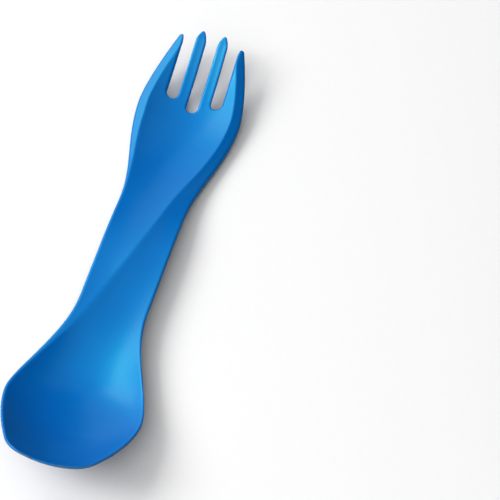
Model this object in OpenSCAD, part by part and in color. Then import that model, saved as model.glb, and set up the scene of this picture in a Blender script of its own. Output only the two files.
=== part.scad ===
// Table utensil in one moulding: a spoon bowl at one end and a four-tine fork at the other.
// X runs along the utensil to the fork, Y across it, Z up out of the bowl.
// The origin is under the middle, on the surface that the utensil rests on.
// Every region is cut from one curved wall, so the regions meet face to face.

/* [Overall] */
// Length from the spoon's front edge to the inner tines' tips
length = 161.6; // [150:0.2:180]
// Thickness of the wall, measured straight down
wall = 2.1; // [1.6:0.1:2.6]
// Radius that softens every edge
edge_r = 0.8; // [0.4:0.1:1.1]

/* [Spoon bowl] */
// Width of the bowl at its widest place
bowl_w = 41.8; // [34:0.2:48]
// Distance from the front edge to the widest place
bowl_l = 24.6; // [18:0.2:26]
// Length of the shoulders between the widest place and the handle
shoulder_l = 37; // [34:0.5:46]
// How much each side draws in from the widest place to the front edge
front_taper = 10.2; // [7:0.2:11]
// Length of the rounded corners beside the front edge
corner_l = 4.6; // [4:0.2:8]
// How far the front edge bulges between its corners
front_bulge = 0.5; // [0:0.1:1]
// Depth of the bowl below its rim
bowl_d = 5.9; // [4:0.1:7.5]
// Length of the hollow from its deepest place to where it runs out in the handle
hollow_l = 39.3; // [32:0.1:46]
// Rise of the front lip above the handle's edges
lip_rise = 15; // [9:0.2:16]
// Distance from the front edge over which the lip rises
lip_l = 37.8; // [30:0.2:42]

/* [Handle] */
// Width of the handle
neck_w = 21.3; // [17:0.1:24]
// Height of the diagonal ridge above the handle's edges
ridge_h = 0.7; // [0.2:0.1:2]
// Distance from mid-length at which the ridge has reached an edge
ridge_run = 31; // [26:0.5:38]

/* [Fork head] */
// Width of the fork head at its widest place
fork_w = 33.4; // [30:0.2:38]
// Distance from the inner tines' tips to the widest place
fork_l = 26; // [24:0.2:30]
// Length of the flare between the handle and the widest place
flare_l = 38; // [32:0.5:44]
// Drop of the fork head's low place below the handle's edges
fork_drop = 4.1; // [3:0.1:5.5]
// Rise of the tips above that low place
tine_rise = 8.9; // [6:0.1:12]
// Length over which the tines rise, from the tips
rise_l = 40.3; // [34:0.1:48]
// Width of the bevel along each side of the fork head
bevel_w = 3; // [2:0.1:4]
// Height of the left bevel's crest above the edge
left_crest_h = 1.2; // [0.6:0.1:2]
// Height of the right bevel's crest above the edge
right_crest_h = 1.4; // [0.6:0.1:2]
// Depth of the trough between the two crests
trough_d = 3; // [2:0.1:4.5]

/* [Tines] */
// Width of each slot
slot_w = 3.85; // [3.4:0.05:4.4]
// Width of each inner tine at its root
tine_w = 3.5; // [2.8:0.05:3.8]
// Length of the two outer slots, from the line of the tips
slot_l = 22.4; // [18:0.2:25]
// Extra length of the middle slot
slot_extra = 2.6; // [0:0.2:4]
// Length over which an inner tine draws in to its point
point_l = 4.8; // [4:0.1:8]
// Width of a tine's blunt tip
tip_w = 1.3; // [0.8:0.1:1.6]
// Distance of each outer tip from the middle line
outer_tip_y = 9.9; // [9.4:0.1:11]
// Distance by which the outer tips stand back from the inner ones
tip_set_back = 2.5; // [1.5:0.1:5]

/* [Hidden] */
// Share of the wall left as an upright land on every edge
land_share = 0.45;
// Powers of the curves: the bowl's front taper, its shoulders, the lip's rise, the fork's sides, the
// ridge's bends
taper_power = 1.65;
shoulder_power = 0.85;
lip_power = 1.7;
side_power = 1.5;
bend_power = 6;
// Share of the bowl's length at which its floor is deepest, and the power of its front wall
deep_share = 0.79;
floor_power = 1.3;
// Share of the front taper that the rounded corners add to it
corner_share = 0.42;
// Share of the flare over which the left bevel grows to its full width
bevel_share = 0.88;
// Shares of half the length over which the ridge dies away towards the bowl, and the fork drops
fade_share = 0.24;
drop_share = 0.48;
// Share of the point's length over which an outer tine's slot side leans out
lean_share = 0.9;
// Share of a tine's width that it loses between its root and its point
slim_share = 0.04;
// Share of the shoulders and of the flare at which their sides turn from bowed out to bowed in
neck_share = 0.5;
// Narrowest strip that the ridge and a crest keep beside an edge
strip = edge_r / 6;
// Columns across the wall on each side of the ridge, and across an edge's rounding
right_n = 14;
left_n = 12;
tine_n = 6;
edge_shares = [0, 0.3, 1];
bevel_shares = [0, 0.45, 0.8, 1];
// Rows along the wall
corner_n = 6;
bowl_n = 9;
shoulder_n = 7;
handle_n = 13;
flare_n = 8;
palm_n = 10;
slot_n = 4;
shank_n = 6;
point_n = 6;

// Places along X
front_x = -length / 2;
tip_x = length / 2;
bowl_x = front_x + bowl_l;
shoulder_x = bowl_x + shoulder_l;
fork_x = tip_x - fork_l;
flare_x = fork_x - flare_l;
neck_x = mix(bowl_x, shoulder_x, neck_share);
throat_x = mix(flare_x, fork_x, neck_share);
slot_x = tip_x - slot_l;
mid_slot_x = slot_x - slot_extra;
outer_tip_x = tip_x - tip_set_back;
// Places across Y: middles of the outer slots and of the inner tines
slot_y = slot_w + tine_w;
tine_y = slot_y / 2;
// Curvature that gives the trough its depth at the fork's widest place
trough_curve = trough_d / pow(fork_w - 2 * bevel_w, 2);

// Plain helpers: a share held between 0 and 1, a smooth step, and a mix of two values
function held(t) = min(1, max(0, t));
function smooth(t) = (1 - cos(180 * held(t))) / 2;
function mix(a, b, t) = a + (b - a) * t;
function steps(a, b, n) = [for (i = [0:n - 1]) mix(a, b, i / n)];
// A step from -1 to 1 that is straight in the middle and bends at both ends
function bend(t) = t / pow(1 + pow(abs(t), bend_power), 1 / bend_power);

// Half the outline's width at x
function front_half(x) = bowl_w / 2
    - front_taper * pow(held((bowl_x - x) / bowl_l), taper_power)
    - front_taper * corner_share
        * (1 - sqrt(1 - pow(held((front_x + corner_l - x) / corner_l), 2)));
function side_half(x) = mix(fork_w / 2, outer_tip_y + tip_w / 2,
    pow(held((x - fork_x) / (outer_tip_x - fork_x)), side_power));
function half_w(x) =
    x < bowl_x ? front_half(x)
    : x < shoulder_x ? mix(bowl_w, neck_w, smooth(pow((x - bowl_x) / shoulder_l, shoulder_power))) / 2
    : x < fork_x ? mix(neck_w, fork_w, smooth((x - flare_x) / flare_l)) / 2
    : side_half(x);

// Height of the outline's edge at x, above the handle's edges
function rim_z(x) =
    lip_rise * pow(held((front_x + lip_l - x) / lip_l), lip_power)
    - fork_drop * smooth(x / (drop_share * tip_x))
    + tine_rise * pow(held((x - tip_x + rise_l) / rise_l), 2);

// Width of the left bevel, and the diagonal ridge's distance from the middle line
function left_inset(x) = bevel_w * held((x - flare_x) / (flare_l * bevel_share));
function ridge_inset(x) = mix(edge_r, bevel_w, smooth((x + ridge_run) / (2 * ridge_run)));
function ridge_y(x) = -bend(x / ridge_run) * (half_w(x) - ridge_inset(x));
// Heights above the edge: of the left bevel at y, and of the ridge
function bevel_z(x, y) = (half_w(x) - y) * left_crest_h / bevel_w;
function ridge(x) = x < 0
    ? ridge_h * smooth(1 + x / (fade_share * length / 2))
    : mix(ridge_h, right_crest_h, smooth(x / ridge_run));

// Depth of the dish between the right edge and the ridge
function bowl_share(x) = let (deep_x = front_x + bowl_l * deep_share)
    x < deep_x ? 1 - pow((deep_x - x) / (deep_x - front_x), floor_power)
    : 1 - smooth((x - deep_x) / hollow_l);
function dish(x) = mix(trough_curve * pow(ridge_y(x) + half_w(x), 2), bowl_d, bowl_share(x));

// Height of the top face at x, y: the lowest of the dish, the trough and the left bevel
function arch(t) = 4 * t * (1 - t);
function dish_z(x, t) = ridge(x) * t - dish(x) * arch(t);
function trough_z(x, y, r, c) = let (t = (y - r) / (c - r))
    mix(ridge(x), bevel_z(x, c), t) - trough_curve * pow(c - r, 2) * arch(t);
function top_z(x, y) = let (w = half_w(x), r = ridge_y(x), c = w - left_inset(x))
    rim_z(x) + min(dish_z(x, (y + w) / (r + w)), trough_z(x, y, r, c), bevel_z(x, y));

// Share of the wall's thickness that is left at distance d from an edge that is open by share o
function rounding(d, o = 1) = d >= edge_r * o ? 1
    : 1 - (1 - land_share) * o * (1 - sqrt(1 - pow(1 - max(d, 0) / (edge_r * o), 2)));

// Points across the wall at x, each with its top and bottom heights
function wall_point(x, y, thick, shift = 0) = let (mid = top_z(x, y) - wall / 2)
    [x + shift, y, mid + wall / 2 * thick, mid - wall / 2 * thick];
function crest_y(x) = half_w(x) - max(edge_r, left_inset(x));
function columns(x) = let (w = half_w(x), c = crest_y(x), r = min(ridge_y(x), c - strip))
    concat([for (s = edge_shares) -w + s * min(edge_r, r + w - strip)],
        [for (i = [1:right_n]) mix(-w + min(edge_r, r + w - strip), r, i / right_n)],
        [for (i = [1:left_n - 1]) mix(r, c, i / left_n)],
        [for (s = bevel_shares) mix(c, w, s)]);
function row(x) = let (w = half_w(x), bulge = front_bulge * pow(held((bowl_x - x) / bowl_l), 2))
    [for (y = columns(x)) wall_point(x, y,
        rounding(w - abs(y)) * rounding(x - front_x), bulge * pow(y / w, 2))];

// Half the width of a slot at x, from its closed end, where it is a half circle
function slot_half(x, start) = let (t = held((x - start) / (slot_w / 2)))
    x <= start ? 0
    : slot_w / 2 * sqrt(1 - pow(1 - t, 2)) + tine_w * slim_share / 2 * held((x - start) / slot_l);

// The two edges of each tine at x, and how far each has opened into its slot
function point_share(x, end) = held((x - end + point_l) / point_l);
function inner_edges(x) = let (a = slot_half(x, mid_slot_x), b = slot_y - slot_half(x, slot_x),
        p = pow(point_share(x, tip_x), 2))
    [mix(a, tine_y - tip_w / 2, p), mix(b, tine_y + tip_w / 2, p)];
function outer_edges(x) = let (a = slot_y + slot_half(x, slot_x),
        p = pow(held((x - outer_tip_x + point_l * lean_share) / (point_l * lean_share)), 2))
    [mix(a, outer_tip_y - tip_w / 2, p), half_w(x)];
function opened(x, start) = min(1, slot_half(x, start) / (slot_w / 2));

// Rows of the tines: side is 1 for the left of the middle line and -1 for the right
function inner_row(x, side) = let (e = inner_edges(x), w = e[1] - e[0])
    [for (i = [0:tine_n * 2]) let (y = e[0] + w * smooth(i / (tine_n * 2)))
        wall_point(x, side * y, rounding(y - e[0], opened(x, mid_slot_x))
            * rounding(e[1] - y, opened(x, slot_x)) * rounding(tip_x - x))];
function outer_columns(x, side) = let (e = outer_edges(x),
        c = max(e[0] + strip, side > 0 ? crest_y(x) : -ridge_y(x)))
    concat([for (i = [0:tine_n]) mix(e[0], c, 1 - pow(1 - i / tine_n, 1.5))],
        [for (i = [1:tine_n]) mix(c, max(c + strip, e[1]), 1 - pow(1 - i / tine_n, 1.5))]);
function outer_row(x, side) = let (e = outer_edges(x))
    [for (y = outer_columns(x, side)) wall_point(x, side * y,
        rounding(y - e[0], opened(x, slot_x)) * rounding(e[1] - y) * rounding(outer_tip_x - x))];

// Places of the rows along each region
function quarter(a, r, n) = [for (i = [0:n - 1]) a + r * (1 - cos(90 * i / n))];
bowl_rows = concat(quarter(front_x, corner_l, corner_n),
    steps(front_x + corner_l, bowl_x, bowl_n), steps(bowl_x, neck_x, shoulder_n), [neck_x]);
handle_rows = concat(steps(neck_x, shoulder_x, shoulder_n), steps(shoulder_x, flare_x, handle_n),
    steps(flare_x, throat_x, flare_n), [throat_x]);
palm_rows = concat(steps(throat_x, mid_slot_x, palm_n), [mid_slot_x]);
root_rows = concat([for (x = quarter(mid_slot_x, slot_w / 2, slot_n)) if (x < slot_x) x],
    quarter(slot_x, slot_w / 2, slot_n));
function shank_rows(end) = concat(root_rows,
    steps(slot_x + slot_w / 2, end - point_l, shank_n), steps(end - point_l, end - edge_r, point_n),
    [end - edge_r, end - edge_r / 3, end]);

// The lowest place of the underside, which the whole utensil is set down on
all_rows = [for (x = concat(bowl_rows, handle_rows, palm_rows)) row(x)];
base_z = min([for (r = all_rows) min([for (p = r) p[3]])]);

// A closed solid between the top and bottom faces of a list of rows
module slab(rows) {
    n = len(rows[0]);
    m = len(rows);
    top = [for (r = rows) for (p = r) [p[0], p[1], p[2] - base_z]];
    bottom = [for (r = rows) for (p = r) [p[0], p[1], p[3] - base_z]];
    function both(a, b, c, d) = [[a, b, c], [a, c, d]];
    faces = [
        for (i = [0:m - 2], j = [0:n - 2]) let (a = i * n + j, b = a + n)
            each both(a, a + 1, b + 1, b),
        for (i = [0:m - 2], j = [0:n - 2]) let (a = (m + i) * n + j, b = a + n)
            each both(a, b, b + 1, a + 1),
        for (i = [0:m - 2]) let (a = i * n, b = a + n) each both(a, b, b + m * n, a + m * n),
        for (i = [0:m - 2]) let (a = i * n + n - 1, b = a + n)
            each both(b, a, a + m * n, b + m * n),
        for (j = [0:n - 2]) each both(j + 1, j, j + m * n, j + 1 + m * n),
        for (j = [0:n - 2]) let (a = (m - 1) * n + j) each both(a, a + 1, a + 1 + m * n, a + m * n)
    ];
    polyhedron(concat(top, bottom), faces);
}

module flipped(rows) {
    slab([for (r = rows) [for (i = [len(r) - 1:-1:0]) r[i]]]);
}

// Bowl of the spoon, with its lip, rim and shoulders
module spoon_bowl() {
    color("royalblue") slab([for (x = bowl_rows) row(x)]);
}

// Handle, folded along the diagonal ridge
module handle() {
    color("royalblue") slab([for (x = handle_rows) row(x)]);
}

// Palm of the fork: the trough between the two bevels, up to the middle slot
module fork_palm() {
    color("royalblue") slab([for (x = palm_rows) row(x)]);
}

module outer_tine_left() {
    color("royalblue") slab([for (x = shank_rows(outer_tip_x)) outer_row(x, 1)]);
}

module inner_tine_left() {
    color("royalblue") slab([for (x = shank_rows(tip_x)) inner_row(x, 1)]);
}

module inner_tine_right() {
    color("royalblue") flipped([for (x = shank_rows(tip_x)) inner_row(x, -1)]);
}

module outer_tine_right() {
    color("royalblue") flipped([for (x = shank_rows(outer_tip_x)) outer_row(x, -1)]);
}

spoon_bowl();
handle();
fork_palm();
outer_tine_left();
inner_tine_left();
inner_tine_right();
outer_tine_right();
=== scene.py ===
"""A spork in one moulding on a pale floor: a spoon bowl, a folded handle and a four-tine fork.

The moulding's sizes are in millimetres: x runs towards the tines, y to the left and z up.
The floor, the light and the camera are in metres, in the same frame.
"""

from math import cos, pi, radians, sin

import bmesh
import bpy
import numpy as np
from mathutils import Matrix, Vector


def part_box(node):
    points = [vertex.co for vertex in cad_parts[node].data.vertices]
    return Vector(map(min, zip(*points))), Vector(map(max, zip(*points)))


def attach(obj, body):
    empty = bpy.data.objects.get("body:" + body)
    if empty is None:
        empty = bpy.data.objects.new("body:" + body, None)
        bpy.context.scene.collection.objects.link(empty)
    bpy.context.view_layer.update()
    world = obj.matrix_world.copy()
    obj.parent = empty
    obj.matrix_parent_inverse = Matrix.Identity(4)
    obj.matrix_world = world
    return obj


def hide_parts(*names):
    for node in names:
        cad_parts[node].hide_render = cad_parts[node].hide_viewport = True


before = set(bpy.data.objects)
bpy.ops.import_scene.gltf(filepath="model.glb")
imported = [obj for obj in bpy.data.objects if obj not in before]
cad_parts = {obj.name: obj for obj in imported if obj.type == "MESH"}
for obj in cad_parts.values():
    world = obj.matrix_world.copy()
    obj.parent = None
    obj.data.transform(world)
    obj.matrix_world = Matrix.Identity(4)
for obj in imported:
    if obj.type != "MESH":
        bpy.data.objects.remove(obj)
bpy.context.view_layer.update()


# The moulding
# The whole utensil is one injection moulding in nylon, dyed blue right through, with no joint
# or insert. The two halves of its mould part along the edge, where a short upright land is left
# between two roundings.

mm = 0.001
MOULDED = [
    "spoon_bowl", "handle", "fork_palm",
    "outer_tine_left", "inner_tine_left", "inner_tine_right", "outer_tine_right",
]


def reach(node):
    """The lowest and the highest corner of a solid of the frame, in millimetres."""
    low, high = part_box(node)
    return np.array(low) / mm, np.array(high) / mm


bowl_low, bowl_high = reach("spoon_bowl")
palm_low, palm_high = reach("fork_palm")
inner_high = reach("inner_tine_left")[1]
outer_high = reach("outer_tine_left")[1]

# Places along the utensil, and widths, as the frame has them
front_x = bowl_low[0]
mid_slot_x = palm_high[0]
outer_tip_x = outer_high[0]
tip_x = inner_high[0]
bowl_w = bowl_high[1] - bowl_low[1]
fork_w = palm_high[1] - palm_low[1]
slot_y = inner_high[1]

# The wall and its edges
wall = 2.1
edge_r = 0.8
land_share = 0.45
crest_blend = 0.28

# The bowl: its plan, then its floor and lip
bowl_l = 24.6
front_taper = 10.2
taper_power = 1.65
shoulder_l = 37
shoulder_power = 0.85
corner_l = 4.6
corner_share = 0.42
front_bulge = 0.5
bowl_d = 5.9
deep_share = 0.79
floor_power = 1.3
hollow_l = 39.3
lip_rise = 15
lip_l = 37.8
lip_power = 1.7

# The handle and its diagonal ridge
neck_w = 21.3
ridge_h = 0.7
ridge_run = 31
bend_power = 6
fade_share = 0.24

# The fork head: plan, rise, bevels and trough
fork_l = 26
flare_l = 38
side_power = 1.55
fork_drop = 4.1
drop_share = 0.48
tine_rise = 8.9
rise_l = 40.3
bevel_w = 3
bevel_share = 0.88
left_crest_h = 1.2
right_crest_h = 1.4
trough_d = 3

# The tines and their slots
slot_w = 3.85
slot_l = 22.4
slot_lean = 0.18
point_l = 3.6
tip_w = 0.75
tip_cap_l = 0.4
outer_point_l = 2.7
outer_tip_w = 1.1
outer_tip_y = 10.15
groove_d = 0.16
groove_run = 8

bowl_x = front_x + bowl_l
shoulder_x = bowl_x + shoulder_l
fork_x = tip_x - fork_l
flare_x = fork_x - flare_l
slot_x = tip_x - slot_l
tine_w = slot_y - slot_w
tine_y = slot_y / 2
trough_curve = trough_d / (fork_w - 2 * bevel_w) ** 2


def held(t):
    """A share kept between 0 and 1."""
    return np.clip(t, 0, 1)


def smooth(t):
    """Half a cosine wave from 0 to 1, flat at both ends."""
    return (1 - np.cos(pi * held(t))) / 2


def mix(a, b, t):
    """The value a share t of the way from a to b."""
    return a + (b - a) * t


def half_width(x):
    """Half the outline's width: a power curve and round corners in front of the bowl's widest
    place, half cosine waves for the shoulders and the flare, and a power curve for the fork's
    sides."""
    front = (bowl_w / 2 - front_taper * held((bowl_x - x) / bowl_l) ** taper_power
             - front_taper * corner_share
             * (1 - np.sqrt(1 - held((front_x + corner_l - x) / corner_l) ** 2)))
    shoulder = mix(bowl_w, neck_w,
                   smooth(held((x - bowl_x) / shoulder_l) ** shoulder_power)) / 2
    flare = mix(neck_w, fork_w, smooth((x - flare_x) / flare_l)) / 2
    side = mix(fork_w / 2, outer_tip_y + outer_tip_w / 2,
               held((x - fork_x) / (outer_tip_x - fork_x)) ** side_power)
    head = np.where(x < fork_x, flare, side)
    return np.where(x < bowl_x, front, np.where(x < shoulder_x, shoulder, head))


def rim_height(x):
    """The edge's height: a power curve up to the lip, a half wave down to the palm, and a parabola
    up to the tips."""
    return (lip_rise * held((front_x + lip_l - x) / lip_l) ** lip_power
            - fork_drop * smooth(x / (drop_share * tip_x))
            + tine_rise * held((x - tip_x + rise_l) / rise_l) ** 2)


def left_crest(x):
    """Distance of the left bevel's crest from the middle line: the edge, less a bevel that grows
    with the flare."""
    return half_width(x) - bevel_w * held((x - flare_x) / (flare_l * bevel_share))


def ridge_line(x):
    """Distance of the ridge to the left of the middle line: a step with a straight middle and
    rounded ends that takes it from the fork's right bevel to the bowl's left edge."""
    step = x / ridge_run / (1 + np.abs(x / ridge_run) ** bend_power) ** (1 / bend_power)
    inset = mix(edge_r, bevel_w, smooth((x + ridge_run) / (2 * ridge_run)))
    return -step * (half_width(x) - inset)


def ridge_height(x):
    """Height of the ridge above the edge: it dies away in a half wave towards the bowl."""
    dying = ridge_h * smooth(1 + x / (fade_share * tip_x))
    return np.where(x < 0, dying, mix(ridge_h, right_crest_h, smooth(x / ridge_run)))


def soft_min(a, b, blend):
    """The lower of two heights, with a parabola over the crease where they differ by less than
    the blend."""
    near = np.maximum(blend - np.abs(a - b), 0) / blend
    return np.minimum(a, b) - near ** 2 * blend / 4


def faces(x, y):
    """The three faces that meet in the top, as heights above the edge: a dish from the right edge
    up to the ridge, a trough from the ridge to the left crest, each sagging as a parabola, and the
    left bevel's plane. The bowl's depth is reached in a power curve from the front and dies away
    in half a wave."""
    w, r, c = half_width(x), ridge_line(x), left_crest(x)
    deep_x = front_x + bowl_l * deep_share
    bowl_share = np.where(
        x < deep_x, 1 - np.maximum(0, (deep_x - x) / (deep_x - front_x)) ** floor_power,
        1 - smooth((x - deep_x) / hollow_l))
    sag = mix(trough_curve * (r + w) ** 2, bowl_d, bowl_share)
    t = (y + w) / (r + w)
    dish = ridge_height(x) * t - sag * 4 * t * (1 - t)
    slope = left_crest_h / bevel_w
    t = (y - r) / (c - r)
    trough = (mix(ridge_height(x), (w - c) * slope, t)
              - trough_curve * (c - r) ** 2 * 4 * t * (1 - t))
    return dish, trough, (w - y) * slope


def groove(x, y):
    """Depth of the shallow groove along each inner tine: a parabola across it that sets in as half
    a wave."""
    across_tine = (np.abs(y) - tine_y) / (tine_w / 2)
    return groove_d * smooth((x - mid_slot_x) / groove_run) * held(1 - across_tine ** 2)


def top_height(x, y):
    """Height of the top face above the handle's edge: the lowest of the three faces, with soft
    creases, less the groove."""
    dish, trough, bevel = faces(x, y)
    lowest = soft_min(soft_min(dish, trough, crest_blend), bevel, crest_blend)
    return rim_height(x) + lowest - groove(x, y)


worn_width = 2 * crest_blend
ridge_end_x = front_x / 2


def crest_nearness(x, y):
    """1 on a crease between two faces, falling to 0 where they differ by the worn width. The bowl
    in front of the ridge's end has no crease, nor has the bevel behind the flare."""
    dish, trough, bevel = faces(x, y)
    inside = np.minimum(dish, trough)
    ridge = held(1 - np.abs(dish - trough) / worn_width) * (inside < bevel)
    crest = held(1 - np.abs(inside - bevel) / worn_width) * (x > flare_x)
    return np.maximum(ridge * (x > ridge_end_x), crest)


def slot_half(x, start):
    """Half a slot's width: a half circle at its closed end, then parallel."""
    t = held((x - start) / (slot_w / 2))
    return slot_w / 2 * np.sqrt(1 - (1 - t) ** 2)


def slot_line(x):
    """Distance of an outer slot's centre line from the utensil's middle: it leans in by a share
    that grows evenly towards the tips."""
    return slot_y - slot_lean * held((x - slot_x) / slot_l)


def round_tip(low, high, x, end):
    """Draws a tine's two edges together in a quarter ellipse over its last stretch."""
    share = np.sqrt(1 - held((x - end + tip_cap_l) / tip_cap_l) ** 2)
    middle, half = (low + high) / 2, (high - low) / 2 * share
    return middle - half, middle + half


def inner_edges(x):
    """The edges of an inner tine: the slots on both sides, drawn in as parabolas to a point."""
    p = held((x - tip_x + point_l) / point_l) ** 2
    tip_y = tine_y - slot_lean / 2
    low = mix(slot_half(x, mid_slot_x), tip_y - tip_w / 2, p)
    high = mix(slot_line(x) - slot_half(x, slot_x), tip_y + tip_w / 2, p)
    return round_tip(low, high, x, tip_x)


def outer_edges(x):
    """The edges of an outer tine: its slot bends out in a parabola to meet the outline at a blunt
    point."""
    p = held((x - outer_tip_x + outer_point_l) / outer_point_l) ** 2
    low = mix(slot_line(x) + slot_half(x, slot_x), outer_tip_y - outer_tip_w / 2, p)
    return round_tip(low, half_width(x), x, outer_tip_x)


def stretch(a, b, count, bunched):
    """Places from a up to b: even, or bunched at the start or the end, as the even steps of a
    quarter circle are when seen from the side."""
    t = np.arange(count) / count
    share = {"even": t, "start": 1 - np.cos(t * pi / 2), "end": np.sin(t * pi / 2)}[bunched]
    return a + (b - a) * share


# Rows along the moulding, close together where the outline turns or an edge is rounded:
# from, to, how many, and where they are bunched
slot_r = slot_w / 2
rows_to_mid_slot = [
    (front_x, front_x + corner_l, 20, "start"),
    (front_x + corner_l, shoulder_x, 72, "even"),
    (shoulder_x, flare_x, 50, "even"),
    (flare_x, mid_slot_x - edge_r, 56, "even"),
    (mid_slot_x - edge_r, mid_slot_x, 7, "end"),
]
rows_to_slots = rows_to_mid_slot + [
    (mid_slot_x, mid_slot_x + slot_r, 11, "start"),
    (mid_slot_x + slot_r, slot_x, 5, "end"),
]
row_stretches = rows_to_slots + [
    (slot_x, slot_x + slot_r, 11, "start"),
    (slot_x + slot_r, tip_x - point_l, 20, "even"),
    (tip_x - point_l, tip_x - tip_cap_l, 14, "even"),
    (tip_x - tip_cap_l, tip_x, 9, "end"),
]
inner_x = np.concatenate([stretch(*s) for s in row_stretches] + [[tip_x]])
outer_x = np.where(inner_x < slot_x, inner_x,
                   mix(slot_x, outer_tip_x, (inner_x - slot_x) / (tip_x - slot_x)))
mid_slot_row = sum(count for _, _, count, _ in rows_to_mid_slot)
slot_row = sum(count for _, _, count, _ in rows_to_slots)

# Columns across one half of the moulding: over the inner tine, from there to the crest, and over
# the bevel. They leave the handle's even spread for the fork's own lines over one run of the ridge.
inner_n = 30
palm_n = 24
bevel_n = 14
follow_x = ridge_run / 4
bunch_run = 2 * slot_w


def across(a, b, count, bunch):
    """Columns from a to b in every row: even or, by the share bunch, closer together at both ends,
    as the steps of a half wave are."""
    t = np.arange(count + 1) / count
    return mix(a[:, None], b[:, None], mix(t, (1 - np.cos(pi * t)) / 2, bunch[:, None]))


def half_columns(x, crest):
    """Distances from the middle line of the columns of one half: by the slots and the crest in the
    fork, and spread as a sine over the whole half in the handle and the bowl."""
    n = inner_n + palm_n + bevel_n
    sine = half_width(x)[:, None] * np.sin(pi / 2 * np.arange(n + 1) / n)
    bunch = smooth((x - mid_slot_x) / bunch_run + 1)
    low, high = inner_edges(x)
    inner = across(low, high, inner_n, bunch)
    low, high = outer_edges(x)
    keep = (high - low) / bevel_n
    crest = np.clip(crest, low + keep, high - keep)
    outer = np.hstack([across(low, crest, palm_n, bunch),
                       across(crest, high, bevel_n, np.ones_like(x))[:, 1:]])
    follow = smooth((x - follow_x) / ridge_run)[:, None]
    return mix(sine[:, :inner_n + 1], inner, follow), mix(sine[:, inner_n:], outer, follow)


def plan(x, y):
    """Points in plan: the front rows are pushed back towards the sides by the front bulge, as a
    parabola across the bowl."""
    bulge = front_bulge * held((bowl_x - x) / bowl_l) ** 2
    return np.stack([x + bulge * (y / half_width(x)) ** 2, y], axis=-1)


# The four strips that the slots part, from right to left: x, y, and the rows from which their
# right and their left border is an open edge
strips = []
for side, crest_of in ((-1, lambda x: -ridge_line(x)), (1, left_crest)):
    inner = half_columns(inner_x, crest_of(inner_x))[0]
    outer = half_columns(outer_x, crest_of(outer_x))[1]
    pair = [(inner_x, inner, mid_slot_row, slot_row), (outer_x, outer, slot_row, 0)]
    for x, y, near_middle, outside in pair[::side]:
        x = np.repeat(x[:, None], y.shape[1], axis=1)
        strips.append((x, (y * side)[:, ::side], *(near_middle, outside)[::side]))


def open_borders(grid, right_from, left_from):
    """The borders of a strip that are edges of the moulding: its front row, its right column and
    its left column."""
    return grid[0], grid[right_from:, 0], grid[left_from:, -1]


points_at_once = 400
shortest_squared = 1e-12


def edge_distance(points, lines):
    """Distance in plan from each point to the nearest stretch of the moulding's outline: each
    point is dropped square onto every stretch, or onto its nearer end."""
    starts = np.concatenate([line[:-1] for line in lines])
    spans = np.concatenate([line[1:] - line[:-1] for line in lines])
    squared = np.maximum((spans ** 2).sum(axis=1), shortest_squared)
    nearest = []
    for part in np.array_split(points, len(points) // points_at_once + 1):
        away = part[:, None] - starts
        t = held((away * spans).sum(axis=2) / squared)
        nearest.append(np.sqrt(((away - t[..., None] * spans) ** 2).sum(axis=2).min(axis=1)))
    return np.concatenate(nearest)


outline = []
for x, y, right_from, left_from in strips:
    outline += open_borders(plan(x, y), right_from, left_from)

corners, quads, edge_mm, crest_share = [], [], [], []
count = 0
for x, y, right_from, left_from in strips:
    flat = plan(x, y)
    to_edge = edge_distance(flat.reshape(-1, 2), outline).reshape(x.shape)
    # The edge's rounding takes a quarter ellipse off both faces, down to the land
    thick = wall * mix(land_share, 1, np.sqrt(1 - (1 - held(to_edge / edge_r)) ** 2))
    middle = top_height(x, y) - wall / 2
    top = np.dstack([flat, middle + thick / 2])
    bottom = np.dstack([flat, middle - thick / 2])
    at = count + np.arange(x.size).reshape(x.shape)
    under = at + x.size
    count += 2 * x.size
    corners += [top.reshape(-1, 3), bottom.reshape(-1, 3)]
    edge_mm += [to_edge.ravel()] * 2
    crest_share += [crest_nearness(x, y).ravel()] * 2
    quads.append(np.stack(
        [at[:-1, :-1], at[1:, :-1], at[1:, 1:], at[:-1, 1:]], -1).reshape(-1, 4))
    quads.append(np.stack(
        [under[:-1, :-1], under[:-1, 1:], under[1:, 1:], under[1:, :-1]], -1).reshape(-1, 4))
    front, right, left = open_borders(at, right_from, left_from)
    for line, turn in ((front, 1), (right, -1), (left, 1)):
        a, b = line[:-1], line[1:]
        low_a, low_b = a + x.size, b + x.size
        quads.append(np.stack([a, b, low_b, low_a][::turn], -1))

corners = np.concatenate(corners)
handle_edge_z = -corners[:, 2].min()
corners[:, 2] += handle_edge_z
edge_mm = np.concatenate(edge_mm)
crest_share = np.concatenate(crest_share)
quads = np.concatenate(quads)

moulding_mesh = bpy.data.meshes.new("moulding")
moulding_mesh.from_pydata((corners * mm).tolist(), [], quads.tolist())
for name, values in (("edge_mm", edge_mm), ("crest_share", crest_share)):
    attribute = moulding_mesh.attributes.new(name, "FLOAT", "POINT")
    attribute.data.foreach_set("value", values.astype(np.float32))

# The strips are welded where they touch, within a ten-thousandth of a millimetre, and each tip
# closes to one point
weld_within = 1e-7
welded = bmesh.new()
welded.from_mesh(moulding_mesh)
bmesh.ops.remove_doubles(welded, verts=welded.verts, dist=weld_within)
bmesh.ops.dissolve_degenerate(welded, edges=welded.edges, dist=weld_within)
welded.to_mesh(moulding_mesh)
welded.free()
moulding_mesh.polygons.foreach_set("use_smooth", [True] * len(moulding_mesh.polygons))
moulding = bpy.data.objects.new("moulding", moulding_mesh)
bpy.context.scene.collection.objects.link(moulding)


def node_group(name, inputs, outputs):
    """An empty shader group, with float inputs at their default values and outputs of the kinds
    given."""
    group = bpy.data.node_groups.new(name, "ShaderNodeTree")
    for label, value in inputs.items():
        socket = group.interface.new_socket(
            name=label, in_out="INPUT", socket_type="NodeSocketFloat")
        socket.default_value = value
    for label, kind in outputs.items():
        group.interface.new_socket(name=label, in_out="OUTPUT", socket_type=kind)
    return group, group.nodes.new("NodeGroupInput"), group.nodes.new("NodeGroupOutput")


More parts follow.
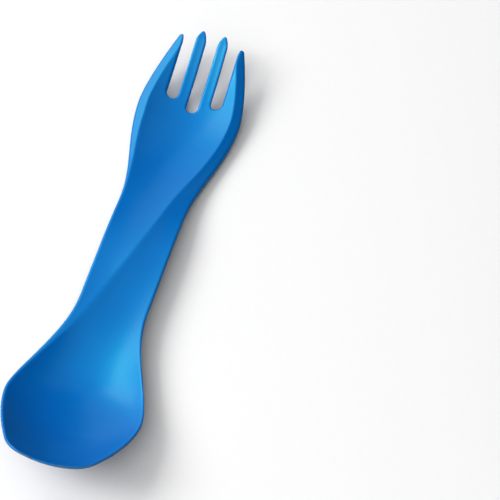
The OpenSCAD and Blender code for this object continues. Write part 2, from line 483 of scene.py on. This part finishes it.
def node(tree, kind, links=None, **settings):
    """A node of that kind, with settings such as an operation, and its sockets set or linked, by
    name or index."""
    made = tree.nodes.new(kind)
    for key, value in settings.items():
        setattr(made, key, value)
    for key, value in (links or {}).items():
        if isinstance(value, bpy.types.NodeSocket):
            tree.links.new(value, made.inputs[key])
        else:
            made.inputs[key].default_value = value
    return made


def moulded_grain():
    """Height of a satin moulded face: a fine grain of spark-eroded pits, plus a share of a faint,
    wider unevenness. Both lengths are in metres."""
    group, given, made = node_group(
        "moulded_grain", {"Grain": 0.0003, "Wave": 0.006, "Wave share": 0.3},
        {"Height": "NodeSocketFloat"})
    place = node(group, "ShaderNodeTexCoord").outputs["Object"]
    per_grain = node(group, "ShaderNodeMath",
                     {0: 1.0, 1: given.outputs["Grain"]}, operation="DIVIDE")
    per_wave = node(group, "ShaderNodeMath",
                    {0: 1.0, 1: given.outputs["Wave"]}, operation="DIVIDE")
    fine = node(group, "ShaderNodeTexNoise",
                {"Vector": place, "Scale": per_grain.outputs[0], "Detail": 2.0, "Roughness": 0.6})
    wide = node(group, "ShaderNodeTexNoise",
                {"Vector": place, "Scale": per_wave.outputs[0], "Detail": 1.0, "Roughness": 0.4})
    swell = node(group, "ShaderNodeMath",
                 {0: wide.outputs["Fac"], 1: given.outputs["Wave share"]}, operation="MULTIPLY")
    height = node(group, "ShaderNodeMath",
                  {0: fine.outputs["Fac"], 1: swell.outputs[0]}, operation="ADD")
    group.links.new(height.outputs[0], made.inputs["Height"])
    return group


def worn_and_highlight_edges():
    """Mask of the worn places: the band along every edge, in millimetres, and less so each crest,
    broken into patches, in metres, by noise. On the edge band its paler colour is also a painted
    highlight along the rims."""
    group, given, made = node_group(
        "worn_and_highlight_edges", {"Band": 1.1, "Crest wear": 0.25, "Patch": 0.004, "Evenness": 0.65},
        {"Mask": "NodeSocketFloat"})
    edge = node(group, "ShaderNodeAttribute", attribute_name="edge_mm")
    crest = node(group, "ShaderNodeAttribute", attribute_name="crest_share")
    near = node(group, "ShaderNodeMath",
                {0: edge.outputs["Fac"], 1: given.outputs["Band"]}, operation="DIVIDE")
    edge_band = node(group, "ShaderNodeMath",
                     {0: 1.0, 1: near.outputs[0]}, operation="SUBTRACT", use_clamp=True)
    worn_crest = node(group, "ShaderNodeMath",
                      {0: crest.outputs["Fac"], 1: given.outputs["Crest wear"]},
                      operation="MULTIPLY")
    band = node(group, "ShaderNodeMath",
                {0: edge_band.outputs[0], 1: worn_crest.outputs[0]},
                operation="MAXIMUM", use_clamp=True)
    place = node(group, "ShaderNodeTexCoord").outputs["Object"]
    per_patch = node(group, "ShaderNodeMath",
                     {0: 1.0, 1: given.outputs["Patch"]}, operation="DIVIDE")
    patches = node(group, "ShaderNodeTexNoise",
                   {"Vector": place, "Scale": per_patch.outputs[0],
                    "Detail": 3.0, "Roughness": 0.6})
    broken = node(group, "ShaderNodeMath",
                  {0: patches.outputs["Fac"], 1: given.outputs["Evenness"]},
                  operation="ADD", use_clamp=True)
    mask = node(group, "ShaderNodeMath",
                {0: band.outputs[0], 1: broken.outputs[0]}, operation="MULTIPLY")
    group.links.new(mask.outputs[0], made.inputs["Mask"])
    return group


grain_group = moulded_grain()
worn_and_highlight_group = worn_and_highlight_edges()

# Blue nylon: the dye's own colour, the paler blue of a worn edge, which in part paints a highlight
# along the rims, and how rough each is.
# Its gloss is tinted by the dye, under the thin clear skin that the mould's wall leaves. The dye
# lies a shade deeper or lighter in long soft streaks, the marks of its flow away from the gate.
nylon_blue = (0, 0.102, 0.43, 1)
# Paler blue along every edge: partly wear, partly a painted highlight on the rims
worn_edge_and_highlight_blue = (0, 0.15, 0.53, 1)
satin_roughness = 0.42
polished_roughness = 0.2
nylon_ior = 1.53
nylon_specular = 0.96
gloss_tint = (0.01, 0.87, 0.66, 1)
skin_weight = 0.22
skin_roughness = 0.22
pit_depth = 0.000016
streaks_per_m = (25, 90, 60)
flow_noise = (0.3, 0.7)
flow_shade = (0.96, 1.04)
# The numbers of a colour Mix node's sockets, whose names its other kinds share
mix_a, mix_b, mix_result = 6, 7, 2

nylon = bpy.data.materials.new("blue_nylon")
nylon.use_nodes = True
tree = nylon.node_tree
shader = tree.nodes["Principled BSDF"]
shader.inputs["IOR"].default_value = nylon_ior
shader.inputs["Specular IOR Level"].default_value = nylon_specular
shader.inputs["Specular Tint"].default_value = gloss_tint
shader.inputs["Coat Weight"].default_value = skin_weight
shader.inputs["Coat Roughness"].default_value = skin_roughness
shader.inputs["Coat IOR"].default_value = nylon_ior
grain = node(tree, "ShaderNodeGroup", node_tree=grain_group)
worn_and_highlight = node(tree, "ShaderNodeGroup", node_tree=worn_and_highlight_group)
place = node(tree, "ShaderNodeTexCoord").outputs["Object"]
streaks = node(tree, "ShaderNodeMapping", {"Vector": place, "Scale": streaks_per_m})
flow = node(tree, "ShaderNodeTexNoise",
            {"Vector": streaks.outputs[0], "Scale": 1.0, "Detail": 3.0})
shade = node(tree, "ShaderNodeMapRange",
             {"Value": flow.outputs["Fac"], "From Min": flow_noise[0], "From Max": flow_noise[1],
              "To Min": flow_shade[0], "To Max": flow_shade[1]})
# The edge band's paler blue is partly wear and partly a painted highlight along the rims
body = node(tree, "ShaderNodeMix", {"Factor": worn_and_highlight.outputs["Mask"]}, data_type="RGBA")
body.inputs[mix_a].default_value = nylon_blue
body.inputs[mix_b].default_value = worn_edge_and_highlight_blue
dyed = node(tree, "ShaderNodeVectorMath", {0: body.outputs[mix_result]}, operation="SCALE")
tree.links.new(shade.outputs[0], dyed.inputs["Scale"])
tree.links.new(dyed.outputs[0], shader.inputs["Base Color"])
rough = node(tree, "ShaderNodeMapRange",
             {"Value": worn_and_highlight.outputs["Mask"],
              "To Min": satin_roughness, "To Max": polished_roughness})
uneven = node(tree, "ShaderNodeMath",
              {0: rough.outputs[0], 1: shade.outputs[0]}, operation="MULTIPLY")
tree.links.new(uneven.outputs[0], shader.inputs["Roughness"])
pits = node(tree, "ShaderNodeBump", {"Height": grain.outputs["Height"], "Distance": pit_depth})
tree.links.new(pits.outputs["Normal"], shader.inputs["Normal"])
moulding_mesh.materials.append(nylon)

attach(moulding, "root")
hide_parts(*MOULDED)


# The floor
# A seamless sheet of matt white studio board, pressed from fibre, far wider than the utensil that
# lies on it.

board_size = 6
board_white = (0.8, 0.8, 0.8, 1)
board_grey = (0.78, 0.78, 0.783, 1)
board_bounce = (0.3, 0.3, 0.3, 1)
board_roughness = 0.8
board_specular = 0.1
fibre_size = 0.002
fibre_wave = 0.3

ends = [-board_size / 2, board_size / 2]
reach_x, reach_y = np.meshgrid(ends, ends)
board_corners = np.dstack([reach_x, reach_y, np.zeros_like(reach_x)]).reshape(-1, 3)
board_mesh = bpy.data.meshes.new("floor")
board_mesh.from_pydata(board_corners.tolist(), [], [(0, 1, 3, 2)])
board = bpy.data.materials.new("studio_board")
board.use_nodes = True
tree = board.node_tree
shader = tree.nodes["Principled BSDF"]
shader.inputs["Roughness"].default_value = board_roughness
shader.inputs["Specular IOR Level"].default_value = board_specular
fibre = node(tree, "ShaderNodeGroup", node_tree=grain_group)
fibre.inputs["Grain"].default_value = fibre_size
fibre.inputs["Wave"].default_value = fibre_wave
tone = node(tree, "ShaderNodeMix", {"Factor": fibre.outputs["Height"]}, data_type="RGBA")
tone.inputs[mix_a].default_value = board_white
tone.inputs[mix_b].default_value = board_grey
# It throws only part of its light back, so that edges that turn down stay dark
ray = node(tree, "ShaderNodeLightPath")
seen = node(tree, "ShaderNodeMix",
            {"Factor": ray.outputs["Is Camera Ray"], mix_b: tone.outputs[mix_result]},
            data_type="RGBA")
seen.inputs[mix_a].default_value = board_bounce
tree.links.new(seen.outputs[mix_result], shader.inputs["Base Color"])
board_mesh.materials.append(board)
floor = bpy.data.objects.new("floor", board_mesh)
bpy.context.scene.collection.objects.link(floor)


# The light
# Soft studio light: a strong softbox to the left with a weaker one beside it, broad dim panels
# at the side, in front and overhead, and a faint even fill.


def direction(azimuth, elevation):
    """The unit vector at that azimuth, from +x towards +y, and elevation, in degrees."""
    a, e = radians(azimuth), radians(elevation)
    return Vector((cos(e) * cos(a), cos(e) * sin(a), sin(e)))


def softbox(name, azimuth, elevation, distance, wide, tall, radiance):
    """A rectangular lamp that faces the utensil. Its power is its radiance times its area times
    pi."""
    lamp = bpy.data.lights.new(name, "AREA")
    lamp.shape = "RECTANGLE"
    lamp.size, lamp.size_y = wide, tall
    lamp.energy = radiance * pi * wide * tall
    box = bpy.data.objects.new(name, lamp)
    away = direction(azimuth, elevation)
    box.location = away * distance
    box.rotation_euler = away.to_track_quat("Z", "Y").to_euler()
    box.visible_camera = False
    bpy.context.scene.collection.objects.link(box)


# Name, azimuth, elevation, distance, width, height and radiance
for lamp_row in (
        ("left_softbox", 110, 41, 1.5, 0.54, 0.76, 12.2),
        ("side_softbox", 70, 40, 1.5, 0.66, 0.8, 3.1),
        ("side_panel", 60, 28, 1.5, 2.18, 1.56, 0.82),
        ("front_panel", 168, 52, 1.5, 1.5, 1.5, 1.7),
        ("overhead_panel", 100, 88, 1.6, 2.4, 2.4, 0.58)):
    softbox(*lamp_row)

# The fill lights the utensil from all round, and the camera sees a pale backdrop in its place
fill_radiance = 0.04
backdrop_radiance = 0.92
white = (1, 1, 1, 1)
world = bpy.data.worlds.new("studio")
world.use_nodes = True
tree = world.node_tree
ray = node(tree, "ShaderNodeLightPath")
level = node(tree, "ShaderNodeMapRange",
             {"Value": ray.outputs["Is Camera Ray"],
              "To Min": fill_radiance, "To Max": backdrop_radiance})
tree.links.new(level.outputs[0], tree.nodes["Background"].inputs["Strength"])
tree.nodes["Background"].inputs["Color"].default_value = white
bpy.context.scene.world = world
bpy.context.scene.view_settings.view_transform = "Standard"


# The camera
# It looks down from the spoon's end, turned so that the utensil stands up in the picture and leans
# to the right. The picture's centre lies beside the handle.

picture_px = 500
focal_px = 2304.2
sensor_mm = 36
camera_away = 0.7
to_camera = Vector((-0.48567, -0.11145, 0.86701)).normalized()
picture_right = Vector((0.2932, -0.95515, 0.04146)).normalized()
beside = 0.03513

picture_up = to_camera.cross(picture_right)
aim = Vector((0, 0, handle_edge_z * mm)) + picture_right * beside
camera_data = bpy.data.cameras.new("camera")
camera_data.sensor_width = sensor_mm
camera_data.lens = sensor_mm * focal_px / picture_px
camera = bpy.data.objects.new("camera", camera_data)
turned = Matrix((picture_right, picture_up, to_camera)).transposed().to_4x4()
camera.matrix_world = Matrix.Translation(aim + to_camera * camera_away) @ turned
bpy.context.scene.collection.objects.link(camera)
bpy.context.scene.camera = camera
